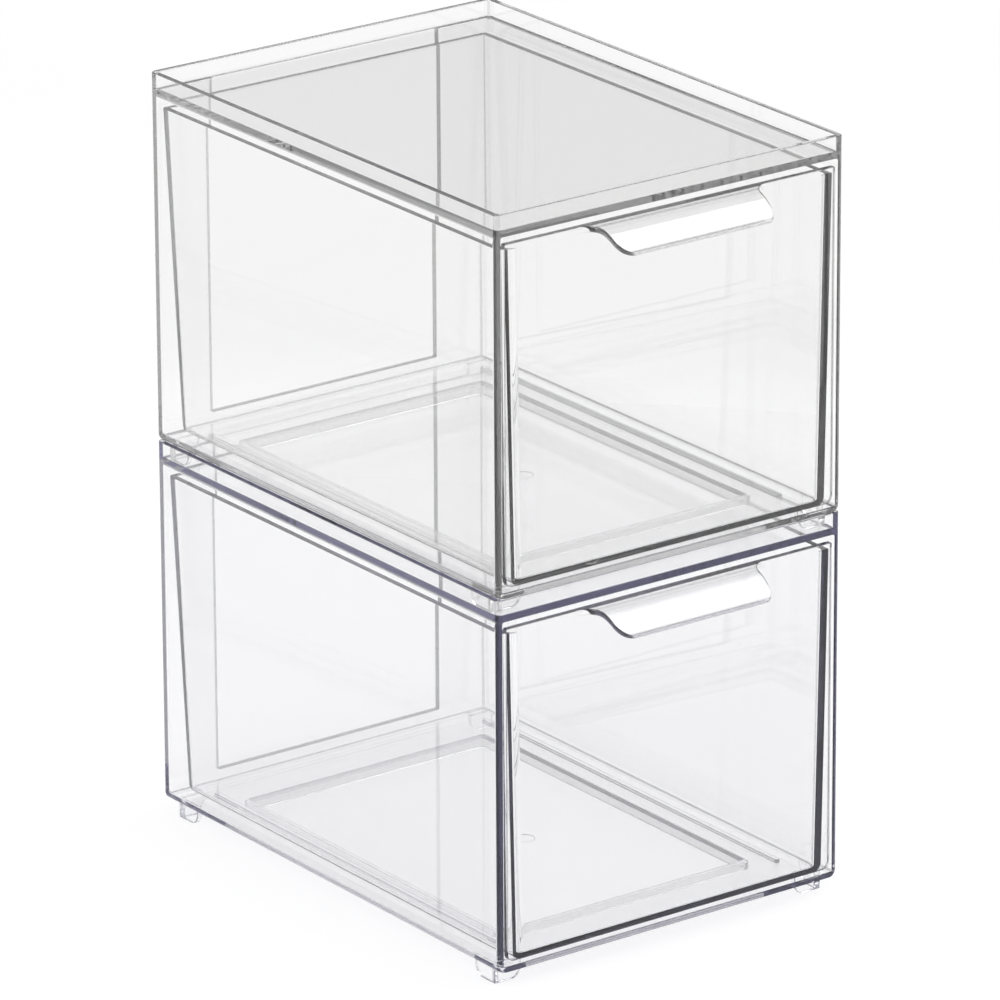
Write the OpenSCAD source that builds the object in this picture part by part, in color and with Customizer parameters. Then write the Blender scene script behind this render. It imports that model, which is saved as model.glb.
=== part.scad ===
// Stackable drawer box: a clear moulded case with a pull-out drawer, two units high.
// Frame: +Z up, the drawers open toward -Y, the origin is at the middle of the footprint
// of the whole stack, pull lips included, on the surface that it stands on.

/* [Case] */
// Outside width of the case, left to right
case_w = 166; // [140:1:220]
// Outside depth of the case, front edge to back wall
case_d = 229; // [180:1:320]
// Height of the case, from the bottom edge of its walls to the top of its rim
case_h = 153.5; // [110:0.5:220]
// Thickness of the side and back walls
wall_t = 2.4; // [2:0.1:3.5]
// Thickness of the floor
floor_t = 2.4; // [2:0.1:4]
// Thickness of the top plate
plate_t = 2.4; // [2:0.1:3.5]
// Depth of the tray that the rim makes above the top plate
tray_depth = 6.7; // [5:0.1:9]
// Radius of the upright corners
corner_r = 2.2; // [1.5:0.1:5]
// Radius of the long bottom edges, seen from the front
bottom_r = 2.8; // [2.5:0.1:6]

/* [Back window and floor opening] */
// Width of the window in the back wall
window_w = 110; // [80:1:130]
// Height of the window's sill above the bottom edge of the case
window_sill = 7.5; // [4:0.1:30]
// Width of the opening in the floor
floor_gap_w = 117.2; // [80:0.2:122]
// Depth of the opening in the floor, front to back
floor_gap_d = 169.2; // [100:0.2:180]
// Radius of the corners of the floor opening
floor_gap_r = 1; // [0.5:0.5:15]
// Thickness of the flange that hangs down round the floor opening
flange_t = 2.2; // [1.5:0.1:3]
// Height of that flange below the bottom edge of the case
flange_h = 3.2; // [1:0.1:4]

/* [Runners] */
// Distance of a runner's middle from the middle of the case
runner_x = 67; // [64:0.5:72]
// Width of a runner
runner_w = 2.6; // [2:0.1:4]
// Height of a runner above the floor
runner_h = 1.5; // [0.5:0.1:2]
// Length of a runner, front to back
runner_len = 192; // [120:1:196]

/* [Feet] */
// Height of a foot below the bottom edge of the case
foot_h = 7; // [6:0.1:10]
// Length of each leg of the L
foot_leg = 13; // [10:0.5:20]
// Thickness of a leg
foot_t = 2.3; // [1.8:0.1:3]
// Radius that rounds off the free end of a leg
foot_end_r = 5; // [3:0.5:6]
// Distance from the side of the case to a foot
foot_in_x = 2.9; // [2.9:0.1:6]
// Distance from the front or back of the case to a foot
foot_in_y = 7; // [4:0.5:12]

/* [Drawer] */
// Gap between the drawer's front panel and the case wall beside it
side_gap = 1.6; // [1:0.1:3]
// Gap between the drawer's top edge and the plate above it
top_gap = 2.9; // [1:0.1:5]
// Gap between the drawer's back wall and the case's, at the top edge
back_gap = 0.8; // [0.6:0.1:5]
// Gap between the drawer and the runners that carry it
run_gap = 0.1; // [0.1:0.05:0.5]
// Gap between the front panel and the case floor
panel_gap = 1.7; // [0.5:0.1:2]
// Thickness of the drawer's walls and front panel
drawer_wall_t = 2.4; // [2:0.1:3.5]
// Thickness of the drawer's floor
drawer_floor_t = 1.8; // [1.5:0.1:3.5]
// How far the front panel stands past the tub on each side
panel_lap = 0.8; // [0.4:0.1:2]
// How far the side and back walls stop below the top edge of the front panel
wall_drop = 2.7; // [0:0.1:6]
// How far each side wall leans in from top to bottom
side_lean = 2.6; // [0:0.1:6]
// How far the back wall leans in from top to bottom
back_lean = 4.5; // [0:0.1:8]
// Radius of the tub's bottom edges and of the front panel's bottom corners
tub_r = 3.2; // [3:0.1:8]
// Radius of the tub's two rear corners at the top
rear_r = 1.3; // [1:0.1:4]

/* [Pull lip] */
// Width of the lip where it meets the front panel
lip_w = 92; // [60:1:110]
// How far the lip stands out from the front panel
lip_out = 20; // [15:0.5:24]
// Thickness of the lip
lip_t = 2.3; // [1.8:0.1:3]
// Slope of the lip's outer part, in degrees
lip_slope = 31; // [15:1:35]
// Length of the lip's level part at the panel
lip_level = 2; // [1:0.5:5]
// Radius of the bend between the level part and the slope
lip_bend_r = 18; // [8:0.5:22]
// Radius of the hollow curve where the lip's ends meet the panel
lip_root_r = 8; // [4:0.5:9]
// Radius of the lip's outer corners
lip_end_r = 8.5; // [4:0.5:9]
// How much narrower each end gets between the hollow curve and the outer corner
lip_narrow = 0.5; // [0:0.5:3]

/* [Stack] */
// Gap between the rim of the lower case and the walls of the upper one
stack_gap = 0.3; // [0.2:0.1:1]

/* [Hidden] */
$fn = 48;
hull_fn = 32;
eps = 0.01;
cut = 1;
arc_steps = 12;

// The lips stand out in front, so the cases sit behind the origin by half of that
mid_y = lip_out / 2;
inner_w = case_w - 2 * wall_t;
plate_top = case_h - tray_depth;
plate_under = plate_top - plate_t;
tight_r = 0.3;
inner_bottom_r = max(bottom_r - wall_t, tight_r);
foot_z = -foot_h;
tray_corner_r = corner_r - wall_t / 2;

// Drawer, measured from the bottom edge of its case
drawer_top = plate_under - top_gap;
wall_top = drawer_top - wall_drop;
drawer_under = floor_t + runner_h + run_gap;
panel_under = floor_t + panel_gap;
panel_half = inner_w / 2 - side_gap;
tub_half = panel_half - panel_lap;
tub_back = case_d / 2 - wall_t - back_gap;
front_y = -case_d / 2;

// The feet of the upper case stand on the plate of the lower one
lower_z = foot_h;
upper_z = lower_z + case_h + stack_gap;

clear_plastic = [0.86, 0.88, 0.9, 0.35];
clear_drawer = [0.8, 0.84, 0.88, 0.35];

// Points along an arc, from angle a to angle b
function arc(x, y, r, a, b) =
    [for (i = [0:arc_steps]) let (t = a + (b - a) * i / arc_steps) [x + r * cos(t), y + r * sin(t)]];

// A rectangle round the origin with rounded corners
module rounded_rect(w, d, r) {
    square([w - 2 * r, d], center = true);
    square([w, d - 2 * r], center = true);
    for (x = [-1, 1], y = [-1, 1])
        translate([x * (w / 2 - r), y * (d / 2 - r)]) circle(r);
}

// A front-view outline whose two bottom corners are rounded, standing on the X axis
module rounded_bottom(w, h, r) {
    translate([-w / 2, r]) square([w, h - r]);
    translate([-w / 2 + r, 0]) square([w - 2 * r, h]);
    for (x = [-1, 1]) translate([x * (w / 2 - r), r]) circle(r);
}

// A front-view outline pushed back from y to y + d
module pushed_back(y, d) {
    translate([0, y + d, 0]) rotate([90, 0, 0]) linear_extrude(d) children();
}

// Walls, floor and top plate of the case as one thick-walled block
module case_block() {
    intersection() {
        linear_extrude(case_h) rounded_rect(case_w, case_d, corner_r);
        pushed_back(front_y, case_d) rounded_bottom(case_w, case_h, bottom_r);
    }
}

// The room for the drawer, open at the front
module case_room() {
    translate([0, 0, floor_t])
        pushed_back(front_y - cut, case_d - wall_t + cut)
            rounded_bottom(inner_w, plate_under - floor_t, inner_bottom_r);
}

// The shallow tray on top that the feet of the next case stand in
module top_tray() {
    translate([0, 0, plate_top])
        linear_extrude(tray_depth + cut) rounded_rect(inner_w, case_d - 2 * wall_t, tray_corner_r);
}

module back_window() {
    translate([-window_w / 2, case_d / 2 - wall_t - cut, window_sill])
        cube([window_w, wall_t + 2 * cut, plate_under - window_sill]);
}

module floor_gap() {
    translate([0, 0, -flange_h - cut]) linear_extrude(flange_h + floor_t + 2 * cut)
        rounded_rect(floor_gap_w, floor_gap_d, floor_gap_r);
}

// The block from which the opening leaves a flange that stiffens its edge
module floor_flange() {
    translate([0, 0, -flange_h]) linear_extrude(flange_h + eps)
        rounded_rect(floor_gap_w + 2 * flange_t, floor_gap_d + 2 * flange_t, floor_gap_r + flange_t);
}

// A low rib with round ends that the drawer slides on
module runner() {
    translate([0, 0, floor_t - eps]) linear_extrude(runner_h + eps)
        rounded_rect(runner_w, runner_len, runner_w / 2 - eps);
}

// One leg of a foot, from the corner along +X, rounded off at its free end
module foot_leg_plate() {
    pushed_back(0, foot_t) {
        translate([0, foot_z]) square([foot_leg - foot_end_r, foot_h + eps]);
        translate([0, foot_z + foot_end_r]) square([foot_leg, foot_h - foot_end_r + eps]);
        translate([foot_leg - foot_end_r, foot_z + foot_end_r]) circle(foot_end_r);
    }
}

// An L of two legs, with its corner at the origin
module foot() {
    foot_leg_plate();
    mirror([1, -1, 0]) foot_leg_plate();
}

module case_shell() {
    difference() {
        union() {
            case_block();
            floor_flange();
        }
        case_room();
        top_tray();
        back_window();
        floor_gap();
    }
    for (x = [-1, 1]) translate([x * runner_x, 0, 0]) runner();
    for (x = [0, 1], y = [0, 1])
        mirror([x, 0, 0]) mirror([0, y, 0])
            translate([foot_in_x - case_w / 2, foot_in_y - case_d / 2, 0]) foot();
}

// The tapered tub, or the room inside it when it is made smaller by the wall
module tub_form(under, over, inset, front) {
    low_r = max(tub_r - inset, tight_r);
    high_r = max(rear_r - inset, tight_r);
    half = tub_half - inset;
    back = tub_back - inset;
    low_half = half - side_lean;
    low_back = back - back_lean;
    hull() {
        for (x = [-1, 1]) {
            translate([x * (half - high_r), back - high_r, over - eps])
                cylinder(r = high_r, h = eps, $fn = hull_fn);
            translate([x * (half - eps) - eps, front, over - eps]) cube([2 * eps, eps, eps]);
            translate([x * (low_half - low_r), front + eps, under + low_r])
                rotate([90, 0, 0]) cylinder(r = low_r, h = eps, $fn = hull_fn);
            translate([x * (low_half - low_r), low_back - low_r, under + low_r])
                sphere(low_r, $fn = hull_fn);
        }
    }
}

module front_panel() {
    translate([0, 0, panel_under])
        pushed_back(front_y, drawer_wall_t)
            rounded_bottom(2 * panel_half, drawer_top - panel_under, tub_r);
}

// Side view of the pull lip: level at the panel, then bent down to a slope
module lip_profile() {
    bend_z = -lip_bend_r;
    slope_x = lip_level + lip_bend_r * sin(lip_slope);
    slope_z = bend_z + lip_bend_r * cos(lip_slope);
    reach = lip_out - slope_x;
    inner_r = lip_bend_r - lip_t;
    polygon(concat(
        [[-drawer_wall_t / 2, 0]],
        arc(lip_level, bend_z, lip_bend_r, 90, 90 - lip_slope),
        [[lip_out, slope_z - reach * tan(lip_slope)]],
        [[lip_out, slope_z - reach * tan(lip_slope) - lip_t / cos(lip_slope)]],
        arc(lip_level, bend_z, inner_r, 90 - lip_slope, 90),
        [[-drawer_wall_t / 2, -lip_t]]
    ));
}

// Top view of one half of the pull lip, with the panel's face on the X axis
module lip_outline() {
    root_x = lip_w / 2;
    side_x = root_x - lip_root_r;
    end_x = side_x - lip_narrow - lip_end_r;
    polygon(concat(
        [[0, drawer_wall_t / 2], [root_x, drawer_wall_t / 2]],
        arc(root_x, -lip_root_r, lip_root_r, 90, 180),
        arc(end_x, lip_end_r - lip_out, lip_end_r, 0, -90),
        [[0, -lip_out]]
    ));
}

module pull_lip() {
    translate([0, front_y, drawer_top]) intersection() {
        rotate([90, 0, -90]) translate([0, 0, -lip_w / 2]) linear_extrude(lip_w) lip_profile();
        translate([0, 0, -lip_out]) linear_extrude(lip_out + cut) {
            lip_outline();
            mirror([1, 0]) lip_outline();
        }
    }
}

module drawer_tub() {
    difference() {
        union() {
            tub_form(drawer_under, wall_top, 0, front_y + eps);
            front_panel();
        }
        tub_form(drawer_under + drawer_floor_t, wall_top + cut, drawer_wall_t,
            front_y + drawer_wall_t);
    }
    pull_lip();
}

module lower_case() { color(clear_plastic) translate([0, mid_y, lower_z]) case_shell(); }
module lower_drawer() { color(clear_drawer) translate([0, mid_y, lower_z]) drawer_tub(); }
module upper_case() { color(clear_plastic) translate([0, mid_y, upper_z]) case_shell(); }
module upper_drawer() { color(clear_drawer) translate([0, mid_y, upper_z]) drawer_tub(); }

lower_case();
lower_drawer();
upper_case();
upper_drawer();
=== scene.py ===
# Stackable drawer box: two clear moulded cases, each with a pull-out drawer. The upper case
# stands in the rim of the lower one. Lengths are metres, angles degrees.
import math

import bmesh
import bpy
from mathutils import Matrix, Vector


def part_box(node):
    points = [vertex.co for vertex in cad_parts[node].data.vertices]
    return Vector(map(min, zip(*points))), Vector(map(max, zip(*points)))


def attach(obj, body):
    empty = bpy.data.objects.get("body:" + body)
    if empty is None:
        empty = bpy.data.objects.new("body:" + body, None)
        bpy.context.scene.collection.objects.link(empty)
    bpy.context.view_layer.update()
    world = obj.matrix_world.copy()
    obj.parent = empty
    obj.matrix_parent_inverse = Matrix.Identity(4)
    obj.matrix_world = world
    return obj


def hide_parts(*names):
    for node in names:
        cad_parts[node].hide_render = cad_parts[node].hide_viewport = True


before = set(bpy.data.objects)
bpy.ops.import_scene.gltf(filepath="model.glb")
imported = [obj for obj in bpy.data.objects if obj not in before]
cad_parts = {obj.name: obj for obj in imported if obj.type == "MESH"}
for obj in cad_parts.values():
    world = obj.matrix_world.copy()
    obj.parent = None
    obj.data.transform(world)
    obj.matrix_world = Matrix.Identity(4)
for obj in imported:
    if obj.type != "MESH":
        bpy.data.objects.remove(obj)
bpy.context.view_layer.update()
mm = 0.001

# ------------------------------------------------------------------------------ Cases
# Each case is one injection moulding of clear polystyrene: floor, side walls, windowed back
# wall and a top plate set down inside a rim. Its runners and feet come out of the same tool.
# The lower case sits on the table, and the upper one stands loose on its plate.

case_wall = 2.4 * mm
case_floor = 2.4 * mm
plate = 2.4 * mm
tray = 6.7 * mm
foot_height = 7 * mm
upright_corner = 2.2 * mm
tray_corner = upright_corner - case_wall / 2
bottom_edge = 2.8 * mm
window_width = 110 * mm
window_sill = 7.5 * mm
window_corner = 0.5 * mm
floor_gap = (117.2 * mm, 169.2 * mm)
floor_gap_corner = 1 * mm
flange_wall, flange_height = 2.2 * mm, 3.2 * mm
runner_middle = 67 * mm
runner_width, runner_length, runner_height = 2.6 * mm, 192 * mm, 1.5 * mm
foot_leg = 13 * mm
foot_wall = 2.3 * mm
foot_end = 5 * mm
foot_from_side = 2.9 * mm
foot_from_front = 7 * mm
# A foot stops this far above what it stands on, so that the two faces never coincide
foot_air = 0.04 * mm
# The tool's outside edges are broken by the first radius, its inside corners by the second
broken = 0.4 * mm
inside_corner = 0.8 * mm
room_corner = 1.2 * inside_corner
# A corner radius this near to half the width makes a round end, and keeps its points apart
full_round = 0.98
# A cutting tool starts this far outside the face that it cuts
overcut = 1 * mm


def rounded(corners, steps=8):
    """The points of a closed outline whose corners (x, y, radius) are rounded off."""
    points = []
    for i, (x, y, radius) in enumerate(corners):
        corner = Vector((x, y))
        back = (Vector(corners[i - 1][:2]) - corner).normalized()
        ahead = (Vector(corners[(i + 1) % len(corners)][:2]) - corner).normalized()
        half = back.angle(ahead) / 2
        centre = corner + (back + ahead).normalized() * radius / math.sin(half)
        spoke = corner + back * radius / math.tan(half) - centre
        turn = spoke.angle_signed(corner + ahead * radius / math.tan(half) - centre)
        for step in range(steps + 1):
            points.append(centre + Matrix.Rotation(-turn * step / steps, 2) @ spoke)
    return points


def about(middle, half):
    """The two ends of a span that reaches half its length to each side of its middle."""
    return middle - half, middle + half


def oblong(x, y, radius, high_radius=None, steps=8):
    """A rectangle over the spans x and y. Its two high corners may have a radius of their own."""
    high_radius = radius if high_radius is None else high_radius
    return rounded([(x[0], y[0], radius), (x[1], y[0], radius),
                    (x[1], y[1], high_radius), (x[0], y[1], high_radius)], steps)


def flat(outline, z):
    return [(x, y, z) for x, y in outline]


def upright(outline, y):
    return [(x, y, z) for x, z in outline]


def depths(*radii, steps=4):
    """How deep the rings lie that draw rounded edges of these radii, the outermost first."""
    return sorted({radius * (1 - math.cos(math.radians(90 * step / steps)))
                   for radius in radii for step in range(steps + 1)})


def inset(depth, radius):
    """How far in a rounded edge of that radius is at a depth from its end."""
    return radius - math.sqrt(radius ** 2 - (radius - depth) ** 2) if depth < radius else 0.0


def low_edge(end, radius=broken):
    """The rings (place, inset) of a rounded edge that starts at an end and goes up or back."""
    return [(end + deep, inset(deep, radius)) for deep in depths(radius)]


def high_edge(end, radius=broken):
    """The rings of a rounded edge that closes at an end, in the same order."""
    return [(end - deep, inset(deep, radius)) for deep in depths(radius)[::-1]]


def flared(rings):
    """The same rings for a cutting tool, which leaves the edge round it rounded."""
    return [(place, -shrink) for place, shrink in rings]


def stack(rings):
    """A solid skinned over closed rings of points, with a face on its first and its last."""
    bm = bmesh.new()
    placed = [[bm.verts.new(point) for point in ring] for ring in rings]
    bm.faces.new(placed[0])
    bm.faces.new(placed[-1])
    for low, high in zip(placed, placed[1:]):
        for i in range(len(low)):
            j = (i + 1) % len(low)
            bm.faces.new((low[i], low[j], high[j], high[i]))
    bmesh.ops.recalc_face_normals(bm, faces=bm.faces)
    mesh = bpy.data.meshes.new("tool")
    bm.to_mesh(mesh)
    bm.free()
    piece = bpy.data.objects.new("tool", mesh)
    bpy.context.scene.collection.objects.link(piece)
    return piece


def work(piece, operation, *tools):
    """Cuts tools out of a piece (DIFFERENCE) or joins them on (UNION), and uses them up."""
    for tool in tools:
        boolean = piece.modifiers.new("work", "BOOLEAN")
        boolean.operation = operation
        boolean.solver = "EXACT"
        boolean.object = tool
        dg = bpy.context.evaluated_depsgraph_get()
        mesh = bpy.data.meshes.new_from_object(piece.evaluated_get(dg))
        piece.modifiers.clear()
        piece.data = mesh
        bpy.data.objects.remove(tool)
    return piece


def case_block(width, y, base, top):
    """The case's outside: its long bottom edges are well rounded, the others only broken."""
    rings = []
    for rise in depths(bottom_edge, steps=10) + depths(broken):
        rings.append((base + rise, inset(rise, bottom_edge), inset(rise, broken)))
    rings.sort()
    rings += [(z, shrink, shrink) for z, shrink in high_edge(top)]
    return stack([flat(oblong(about(0, width / 2 - side_in), (y[0] + end_in, y[1] - end_in),
                              upright_corner - end_in), z)
                  for z, side_in, end_in in rings])


def case_room(inner, y, floor, ceiling):
    """The room for the drawer, flared where it opens at the front."""
    rings = [(y[0] - overcut, -broken)] + flared(low_edge(y[0])) + high_edge(y[1], inside_corner)
    return stack([upright(oblong(about(0, inner / 2 - shrink), (floor + shrink, ceiling - shrink),
                                 room_corner - shrink), at)
                  for at, shrink in rings])


def top_dish(inner, y, bottom, top):
    """The shallow tray on top, which the feet of another case stand in."""
    rings = low_edge(bottom) + flared(high_edge(top)) + [(top + overcut, -broken)]
    return stack([flat(oblong(about(0, inner / 2 - shrink), (y[0] + shrink, y[1] - shrink),
                              tray_corner - shrink), z)
                  for z, shrink in rings])


def back_window(y, sill, top):
    """The window in the back wall, which reaches up to the underside of the plate."""
    rings = [(y[0] - overcut, broken, 0.0)]
    rings += [(at, wider, 0.0) for at, wider in low_edge(y[0])]
    rings += [(at, wider, wider) for at, wider in high_edge(y[1])]
    rings += [(y[1] + overcut, broken, broken)]
    return stack([upright(oblong(about(0, window_width / 2 + wider), (sill - wider, top + higher),
                                 window_corner, broken), at)
                  for at, wider, higher in rings])


def floor_flange(middle, bottom, top):
    """The block from which the floor's opening leaves a flange that hangs down round it."""
    w, d = floor_gap[0] / 2 + flange_wall, floor_gap[1] / 2 + flange_wall
    corner = floor_gap_corner + flange_wall
    return stack([flat(oblong(about(0, w - shrink), about(middle, d - shrink), corner - shrink), z)
                  for z, shrink in low_edge(bottom) + [(top, 0.0)]])


def floor_opening(middle, bottom, top):
    """The large opening in the floor under the drawer."""
    rings = [(bottom - overcut, broken)] + low_edge(bottom) + high_edge(top)
    rings += [(top + overcut, broken)]
    w, d = floor_gap[0] / 2, floor_gap[1] / 2
    return stack([flat(oblong(about(0, w + wider), about(middle, d + wider), floor_gap_corner), z)
                  for z, wider in rings])


def runner(x, middle, floor):
    """A low rib with round ends that the drawer slides on."""
    rings = [(floor - overcut, 0.0)] + high_edge(floor + runner_height)
    w, d = runner_width / 2, runner_length / 2
    return stack([flat(oblong(about(x, w - shrink), about(middle, d - shrink),
                              (w - shrink) * full_round), z)
                  for z, shrink in rings])


def foot(corner, x_way, y_way, base):
    """An L-shaped foot: two legs from one corner, rounded off below their free ends."""
    bottom = base - foot_height + foot_air
    rings = []
    for rise in sorted(set(depths(foot_end, steps=8) + depths(broken))):
        rings.append((bottom + rise, foot_leg - inset(rise, foot_end), inset(rise, broken)))
    rings.append((base + case_floor / 2, foot_leg, 0.0))
    placed = []
    for z, leg, shrink in rings:
        start, end, side = shrink, leg - shrink, foot_wall - shrink
        outline = rounded([(start, start, broken), (end, start, broken), (end, side, broken),
                           (side, side, broken), (side, end, broken), (start, end, broken)], 3)
        placed.append([(corner[0] + x_way * x, corner[1] + y_way * y, z) for x, y in outline])
    return stack(placed)


def case_moulding(node):
    """One whole case, built where its solid stands."""
    low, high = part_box(node)
    width, middle = high.x - low.x, (low.y + high.y) / 2
    base, plate_top = low.z + foot_height, high.z - tray
    inner, back = width - 2 * case_wall, high.y - case_wall
    floor, ceiling = base + case_floor, plate_top - plate
    case = case_block(width, (low.y, high.y), base, high.z)
    work(case, "UNION", floor_flange(middle, base - flange_height, base + case_floor / 2))
    work(case, "DIFFERENCE",
         case_room(inner, (low.y, back), floor, ceiling),
         top_dish(inner, (low.y + case_wall, back), plate_top, high.z),
         back_window((back, high.y), base + window_sill, ceiling),
         floor_opening(middle, base - flange_height, floor))
    for side in (-1, 1):
        work(case, "UNION", runner(side * runner_middle, middle, floor))
        for end in (-1, 1):
            corner = (side * (width / 2 - foot_from_side),
                      (high.y if end > 0 else low.y) - end * foot_from_front)
            work(case, "UNION", foot(corner, -side, -end, base))
    return case


# Narrow faces along the broken edges get a painted shade: their colour is darkened so that
# dark lines run along the edges, and they are made rougher. Their faces are narrower than this,
# and no part of their normals reaches the next value, so they lie askew.
shaded_edge_width, shaded_edge_askew = 0.25 * mm, 0.995
# How much painted shade and dullness the edge faces get: at the rim, at other edges, inside
# the floor's opening and where the tool shuts
rim_shade_and_dull, edge_shade_and_dull, flange_shade_and_dull, shut_shade_and_dull = 0.35, 0.6, 0.5, 1.0
shortest_edge = 0.003 * mm
sharp_angle = math.radians(35)


def finish_faces(piece, name, edge_shading):
    """Names a moulding, marks how much painted shade and dullness its edge faces get at each place,
    and shades it smooth.
    """
    piece.name = piece.data.name = name
    bm = bmesh.new()
    bm.from_mesh(piece.data)
    bmesh.ops.dissolve_degenerate(bm, edges=bm.edges, dist=shortest_edge)
    painted_shade_and_dull = bm.faces.layers.float.new("painted_shade_and_dull")
    for face in bm.faces:
        length = max(edge.calc_length() for edge in face.edges)
        narrow = face.calc_area() / length < shaded_edge_width
        askew = max(abs(part) for part in face.normal) < shaded_edge_askew
        face[painted_shade_and_dull] = edge_shading(face.calc_center_median(), narrow and askew)
    bm.to_mesh(piece.data)
    bm.free()
    piece.data.shade_smooth()
    piece.data.set_sharp_from_angle(angle=sharp_angle)
    piece.modifiers.new("flat_faces", "WEIGHTED_NORMAL").keep_sharp = True
    return piece


class Wire:
    """A node's output. Sums with numbers or with other wires add Math nodes to its tree."""

    def __init__(self, tree, socket=None):
        self.tree = tree
        self.socket = socket

    def node(self, kind, settings={}, values={}, output=0):
        """Adds a node from its type, its settings, and the values or links of its sockets.

        It gives back a wire from one of the node's outputs, or None where the node has none."""
        node = self.tree.nodes.new("ShaderNode" + kind)
        for name, value in settings.items():
            setattr(node, name, value)
        for name, value in values.items():
            if isinstance(value, Wire):
                self.tree.links.new(value.socket, node.inputs[name])
            else:
                node.inputs[name].default_value = value
        return Wire(self.tree, node.outputs[output]) if node.outputs else None

    def math(self, operation, first, second, clamp=False):
        settings = {"operation": operation, "use_clamp": clamp}
        return self.node("Math", settings, {0: first, 1: second})

    def __add__(self, other):
        return self.math("ADD", self, other)

    def __mul__(self, other):
        return self.math("MULTIPLY", self, other)

    def __sub__(self, other):
        return self.math("SUBTRACT", self, other)

    def __rsub__(self, other):
        return self.math("SUBTRACT", other, self)

    def most(self, other):
        return self.math("MAXIMUM", self, other)

    def ray(self, *kinds):
        """1 for rays of any of these kinds, such as Camera or Shadow."""
        found = self.node("LightPath", output="Is %s Ray" % kinds[0])
        for kind in kinds[1:]:
            found = found.most(self.node("LightPath", output="Is %s Ray" % kind))
        return found


def new_material(name):
    """A material without nodes, and a Wire that adds them."""
    material = bpy.data.materials.new(name)
    material.use_nodes = True
    material.node_tree.nodes.clear()
    return material, Wire(material.node_tree)


# What a polished face lets through, how far the painted shade darkens an edge face, and how rough
# rubbed and shaded edge faces are
polished_clear, painted_edge_shade = 0.986, 0.85
rubbed_rough, shaded_edge_rough = 0.12, 0.2


def clear_plastic(name, shade, density):
    """Clear polystyrene, seen through as real glass is, with marks of handling on it."""
    material, w = new_material(name)
    place = w.node("TexCoord", output="Object")
    flow = w.node("TexNoise", values={"Vector": place, "Scale": 14.0, "Detail": 1.0})
    flow_lines = w.node("Bump", values={"Height": flow, "Strength": 0.25, "Distance": 0.00008})
    haze = w.node("TexNoise", values={"Vector": place, "Scale": 22.0, "Detail": 4.0})
    rubbed = w.math("SUBTRACT", haze, 0.55, clamp=True)
    # Edge faces marked in the mesh get a painted shade here: their colour is darkened, and they are
    # made rougher
    painted_shade_and_dull = w.node("Attribute", {"attribute_name": "painted_shade_and_dull"}, output="Fac")
    body = w.node("BsdfPrincipled", values={
        "Base Color": polished_clear - painted_shade_and_dull * painted_edge_shade,
        "Roughness": rubbed * rubbed_rough + painted_shade_and_dull * shaded_edge_rough,
        "IOR": 1.57, "Transmission Weight": 1.0, "Normal": flow_lines})
    lamp_light = w.node("BsdfTransparent", values={"Color": (0.99, 0.99, 0.99, 1)})
    surface = w.node("MixShader", values={0: w.ray("Shadow", "Diffuse"), 1: body, 2: lamp_light})
    depth = w.node("VolumeAbsorption", values={"Color": (*shade, 1), "Density": density})
    w.node("OutputMaterial", values={"Surface": surface, "Volume": depth})
    return material


# The lower unit's plastic is a little violet, the upper one's neutral
plastics = {"lower_case": clear_plastic("violet_case_plastic", (0.02, 0.0, 0.26), 10.5),
            "lower_drawer": clear_plastic("violet_drawer_plastic", (0.02, 0.0, 0.16), 13),
            "upper_case": clear_plastic("clear_case_plastic", (0.0, 0.0, 0.0), 5),
            "upper_drawer": clear_plastic("clear_drawer_plastic", (0.0, 0.0, 0.0), 8)}


def case_edge_shading(node):
    """How much painted shade and dullness each face gets: little at the rim, more at other edges,
    and most where the tool shuts at the openings and the back wall.
    """
    low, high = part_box(node)
    rim, back_wall = high.z - tray, high.y - case_wall / 2
    floor, middle = low.z + foot_height + case_floor, (low.y + high.y) / 2
    flange_end = low.z + foot_height - flange_height

    def face_shade_and_dull(place, on_edge):
        if place.z > rim:
            return rim_shade_and_dull * on_edge
        in_window = abs(place.x) < window_width / 2 + broken
        if in_window and abs(place.y - back_wall) < case_wall / 3:
            return shut_shade_and_dull
        beside_gap = max(abs(place.x) - floor_gap[0] / 2,
                         abs(place.y - middle) - floor_gap[1] / 2)
        if abs(beside_gap) < broken and place.z < floor:
            return shut_shade_and_dull if place.z > floor - broken else flange_shade_and_dull
        if 0 < beside_gap < flange_wall and place.z < flange_end + broken:
            return flange_shade_and_dull
        return (shut_shade_and_dull if place.y > back_wall - case_wall else edge_shade_and_dull) * on_edge
    return face_shade_and_dull


for node in ("lower_case", "upper_case"):
    case = finish_faces(case_moulding(node), node + "_moulding", case_edge_shading(node))
    case.data.materials.append(plastics[node])
    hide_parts(node)
    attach(case, node)

# ---------------------------------------------------------------------------- Drawers
# Each drawer is one moulding too: a tub whose sides and back lean in towards the floor, a flat
# front panel a little larger than the tub, and a pull lip that bends down from its top edge.

side_gap = 1.6 * mm
drawer_wall = 2.4 * mm
drawer_floor = 1.8 * mm
back_gap = 0.8 * mm
panel_gap = 1.7 * mm
panel_lap = 0.8 * mm
wall_drop = 2.7 * mm
side_lean = 2.6 * mm
back_lean = 4.5 * mm
tub_edge = 3.2 * mm
tub_rear = 1.3 * mm
room_front_corner = 3 * mm


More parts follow.
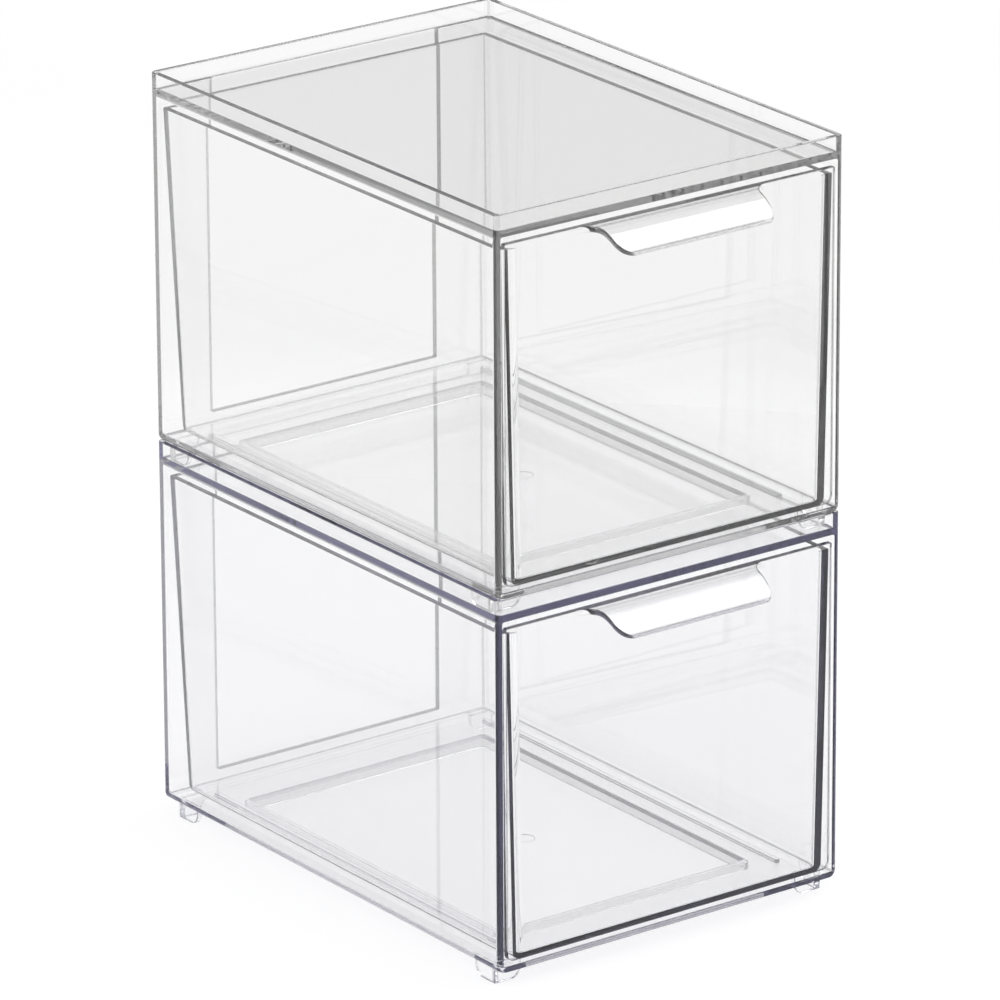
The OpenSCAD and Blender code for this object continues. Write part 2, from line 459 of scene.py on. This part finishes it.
def tub(half, y, z, shrink, rims, front_corner):
    """The tapered tub, or the room inside it. rims are the rings that draw its top edge."""
    low_corner, high_corner = max(tub_edge - shrink, inside_corner), max(tub_rear - shrink, broken)
    half, back = half - shrink, y[1] - shrink
    low_half, low_back = half - side_lean, back - back_lean
    start = z[0] + low_corner
    rings = []
    for rise in depths(low_corner, steps=8):
        pull = inset(rise, low_corner)
        corner = max(low_corner - pull, broken / 4)
        rings.append((z[0] + rise, low_half - pull, low_back - pull, corner,
                      y[0] + inset(rise, inside_corner)))
    for height, pull in rims:
        share = min((height - start) / (z[1] - start), 1)
        corner = low_corner + (high_corner - low_corner) * share - pull
        rings.append((height, low_half + side_lean * share - pull,
                      low_back + back_lean * share - pull, corner, y[0]))
    return stack([flat(oblong(about(0, w), (front, rear), front_corner, corner), height)
                  for height, w, rear, corner, front in rings])


def front_panel(half, y, z):
    """The flat front, with rounded bottom corners and broken edges."""
    return stack([upright(oblong(about(0, half - shrink), (z[0] + shrink, z[1] - shrink),
                                 tub_edge - shrink, inside_corner - shrink), at)
                  for at, shrink in low_edge(y) + high_edge(y + drawer_wall)])


lip_root = 46 * mm
lip_out = 20 * mm
lip_thick = 2.3 * mm
lip_slope = math.radians(31)
lip_level = 2 * mm
lip_bend = 18 * mm
lip_hollow = 8 * mm
lip_corner = 8.5 * mm
lip_narrow = 0.5 * mm
lip_edge = 0.9 * mm
# The lip's free edge is thinned from below, over a length and by a share
lip_thinned, lip_thinned_by = 4 * mm, 0.55
# A corner radius stays below this share of half the lip's thickness
lip_roundest = 0.95
# Where along the lip it has cross-sections between its root and its free edge
lip_stations = (0.42, 0.47, 0.52, 0.57, 0.62, 0.67, 0.72, 0.76, 0.8, 0.84, 0.87, 0.9, 0.925)
lip_below_top = 0.05 * mm


def lip_half_width(out):
    """Half the lip's width at a distance out from the panel: hollow, straight, then rounded."""
    waist = lip_root - lip_hollow
    tip = waist - lip_narrow - lip_corner
    last = lip_out - lip_corner
    if out < lip_hollow:
        return lip_root - math.sqrt(lip_hollow ** 2 - (lip_hollow - max(out, 0)) ** 2)
    if out < last:
        return waist - lip_narrow * (out - lip_hollow) / (last - lip_hollow)
    return tip + math.sqrt(max(lip_corner ** 2 - (out - last) ** 2, 0))


def lip_line(run):
    """Where the lip's middle is after a run along it, how far out and down, and its slope."""
    radius = lip_bend - lip_thick / 2
    bend = radius * lip_slope
    if run < lip_level:
        return run, -lip_thick / 2, 0.0
    angle = min((run - lip_level) / radius, lip_slope)
    out = lip_level + radius * math.sin(angle)
    down = -lip_bend + radius * math.cos(angle)
    past = max(run - lip_level - bend, 0)
    return out + past * math.cos(lip_slope), down - past * math.sin(lip_slope), angle


def pull_lip(y, z):
    """The lip as a run of rounded cross-sections from inside the panel to its free edge."""
    radius = lip_bend - lip_thick / 2
    tip_out = lip_out - lip_thick / 2 * math.sin(lip_slope)
    bend_out = lip_level + radius * math.sin(lip_slope)
    length = lip_level + radius * lip_slope + (tip_out - bend_out) / math.cos(lip_slope)
    runs = [-drawer_wall / 2] + depths(lip_hollow, steps=12)
    runs += [length * share for share in lip_stations]
    tip_edge = lip_thick / 2 * (1 - lip_thinned_by) * 0.96
    runs += [length - deep for deep in depths(tip_edge, steps=5)[::-1]]
    rings = []
    for run in sorted(runs):
        out, down, angle = lip_line(run)
        half = lip_half_width(out)
        share = max(1 - (length - run) / lip_thinned, 0)
        thinned = lip_thinned_by * share ** 2
        thick = lip_thick / 2 * (1 - thinned)
        drop = inset(length - run, tip_edge)
        corner = min(lip_edge, (thick - drop) * lip_roundest)
        middle = lip_thick / 2 * thinned
        section = oblong(about(0, half), about(middle, thick - drop), corner, steps=5)
        rings.append([(x, y - out - n * math.sin(angle), z + down + n * math.cos(angle))
                      for x, n in section])
    return stack(rings)


# The plastic came into the tool through a round pad under the middle of the tub
gate_place, gate_radius, gate_depth = (0, -8 * mm), 4 * mm, 0.3 * mm


def gate_mark(under):
    """The shallow round dimple that the pad leaves in the underside."""
    x, y = gate_place
    rings = [(under - overcut, gate_radius), (under + gate_depth / 2, gate_radius),
             (under + gate_depth, gate_radius - gate_depth / 2)]
    return stack([flat(oblong(about(x, r), about(y, r), r * 0.99, steps=12), z) for z, r in rings])


def drawer_moulding(node, case):
    """One whole drawer, built where its solid stands in its case."""
    low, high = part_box(node)
    shell_low, shell_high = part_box(case)
    floor = shell_low.z + foot_height + case_floor
    top, front = high.z, shell_low.y
    half = (shell_high.x - shell_low.x) / 2 - case_wall - side_gap
    back = shell_high.y - case_wall - back_gap
    rim = top - wall_drop
    outside = tub(half - panel_lap, (front + drawer_wall / 2, back), (low.z, rim), 0,
                  high_edge(rim), inside_corner)
    room = tub(half - panel_lap, (front + drawer_wall, back), (low.z + drawer_floor, rim),
               drawer_wall, flared(high_edge(rim)) + [(rim + overcut, -broken)],
               room_front_corner)
    drawer = front_panel(half, front, (floor + panel_gap, top))
    work(drawer, "UNION", outside)
    work(drawer, "DIFFERENCE", room, gate_mark(low.z))
    work(drawer, "UNION", pull_lip(front, top - lip_below_top))
    return drawer


for node, case in (("lower_drawer", "lower_case"), ("upper_drawer", "upper_case")):
    # The lip lies in front of this, and its edges get no painted shade
    panel_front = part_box(case)[0].y - broken / 10
    drawer = finish_faces(
        drawer_moulding(node, case), node + "_moulding",
        lambda place, on_edge: edge_shade_and_dull * (on_edge and place.y > panel_front))
    drawer.data.materials.append(plastics[node])
    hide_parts(node)
    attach(drawer, node)

# ----------------------------------------------------------------------------- Studio
# A white paper floor that keeps the shadow of the boxes, a low white wall that only the
# plastic shows, a white surround that is dimmer higher up, and two wide soft lamps above.

whole_white = (1, 1, 1, 1)


def stage_piece(name, points, faces, material):
    """A thing of the studio, with its material, that is no part of the product."""
    mesh = bpy.data.meshes.new(name)
    mesh.from_pydata(points, [], faces)
    mesh.materials.append(material)
    piece = bpy.data.objects.new(name, mesh)
    bpy.context.scene.collection.objects.link(piece)
    return piece


def fade(w, value, start, end):
    """Goes smoothly from start (value, result) to end (value, result)."""
    return w.node("MapRange", {"interpolation_type": "SMOOTHSTEP"},
                  {"Value": value, "From Min": start[0], "From Max": end[0],
                   "To Min": start[1], "To Max": end[1]})


# The paper is lit near the boxes, a little lifted where it is seen, and plain white far off
reach = 8.0
lit_as_far_as, white_from = 0.4, 1.2
paper_lift = 0.3
paper, w = new_material("white_paper")
seen = w.ray("Camera", "Glossy", "Transmission")
place = w.node("TexCoord", output="Object")
far = w.node("VectorMath", {"operation": "LENGTH"}, {0: place}, output="Value")
away = w.node("MapRange", values={"Value": far, "From Min": lit_as_far_as, "From Max": white_from})
sheet = w.node("BsdfDiffuse", values={"Color": (0.8, 0.8, 0.8, 1)})
lift = w.node("Emission", values={"Color": whole_white, "Strength": seen * paper_lift})
near_sheet = w.node("AddShader", values={0: sheet, 1: lift})
white = w.node("Emission", values={"Color": whole_white, "Strength": 1.0})
surface = w.node("MixShader", values={0: away * seen, 1: near_sheet, 2: white})
w.node("OutputMaterial", values={"Surface": surface})
floor_corners = [(-reach, -reach, 0), (reach, -reach, 0), (reach, reach, 0), (-reach, reach, 0)]
studio_floor = stage_piece("studio_floor", floor_corners, [(0, 1, 2, 3)], paper)

# The wall stands all round and fades out at its top. The floors of the drawers mirror it, while
# the top plate mirrors the dimmer surround above it. Near the floor it is as bright as the lamps
# make the paper in front of it.
wall_far, wall_sides = 0.55, 96
wall_solid, wall_top = 0.415, 0.435
foot_bright, foot_fade = 1.07, 0.04
glow, w = new_material("white_wall")
height = w.node("SeparateXYZ", values={0: w.node("TexCoord", output="Object")}, output="Z")
shown = fade(w, height, (wall_solid, 1.0), (wall_top, 0.0))
brightness = fade(w, height, (0.0, foot_bright), (foot_fade, 1.0))
clear = w.node("BsdfTransparent", values={"Color": whole_white})
white = w.node("Emission", values={"Color": whole_white, "Strength": brightness})
surface = w.node("MixShader", values={0: shown * w.ray("Glossy", "Transmission"),
                                      1: clear, 2: white})
w.node("OutputMaterial", values={"Surface": surface})
turns = [math.tau * i / wall_sides for i in range(wall_sides)]
ring = [(wall_far * math.cos(turn), wall_far * math.sin(turn)) for turn in turns]
wall_faces = [(i, (i + 1) % wall_sides, (i + 1) % wall_sides + wall_sides, i + wall_sides)
              for i in range(wall_sides)]
wall_points = flat(ring, 1 * mm) + flat(ring, wall_top)
studio_wall = stage_piece("studio_wall", wall_points, wall_faces, glow)

# The surround dims between these heights on a ball of radius 1 round the boxes. The camera
# itself sees it plain white.
dim_from, dim_to, dimmed = 0.08, 0.24, 0.55
world = bpy.data.worlds.new("studio")
bpy.context.scene.world = world
world.use_nodes = True
world.node_tree.nodes.clear()
w = Wire(world.node_tree)
way = w.node("TexCoord", output="Generated")
height = w.node("SeparateXYZ", values={0: way}, output="Z")
level = fade(w, height, (dim_from, 1.0), (dim_to, dimmed))
level = level + w.ray("Camera") * (1 - level)
sky = w.node("Background", values={"Color": whole_white, "Strength": level})
w.node("OutputWorld", values={"Surface": sky})

lamp_size, lamp_watts = (1.3, 1.1), 16
lamp_aim = Vector((0, 0, 0.15))
for side in (-1, 1):
    lamp_data = bpy.data.lights.new("soft_lamp", "AREA")
    lamp_data.shape = "RECTANGLE"
    lamp_data.size, lamp_data.size_y = lamp_size
    lamp_data.energy = lamp_watts
    lamp = bpy.data.objects.new("soft_lamp", lamp_data)
    bpy.context.scene.collection.objects.link(lamp)
    lamp.location = (side * 1.3, -0.3, 2.05)
    lamp.rotation_euler = (lamp_aim - lamp.location).to_track_quat("-Z", "Y").to_euler()

# The camera stands off to the left and above, far away as a long lens does
turn, rise, lean = math.radians(-36.31), math.radians(20.06), math.radians(-0.28)
distance = 3.5
target = Vector((0, 0.01, 0.007))
slide = (1.44 * mm, 134.4 * mm)
back = Vector((math.sin(turn) * math.cos(rise), -math.cos(turn) * math.cos(rise), math.sin(rise)))
right = (-back).cross(Vector((0, 0, 1))).normalized()
up = right.cross(-back)
right, up = (math.cos(lean) * right + math.sin(lean) * up,
             math.cos(lean) * up - math.sin(lean) * right)
camera_data = bpy.data.cameras.new("camera")
camera_data.lens = 314.95
camera_data.sensor_width = 36
camera_data.clip_end = 100
camera = bpy.data.objects.new("camera", camera_data)
bpy.context.scene.collection.objects.link(camera)
camera.matrix_world = Matrix.LocRotScale(
    target + back * distance + right * slide[0] + up * slide[1],
    Matrix((right, up, back)).transposed(), None)
bpy.context.scene.camera = camera

bpy.context.scene.view_settings.view_transform = "Standard"
# Light passes many faces of clear plastic before it is out again
cycles = bpy.context.scene.cycles
cycles.max_bounces = cycles.glossy_bounces = cycles.transmission_bounces = 128
cycles.transparent_max_bounces = 64
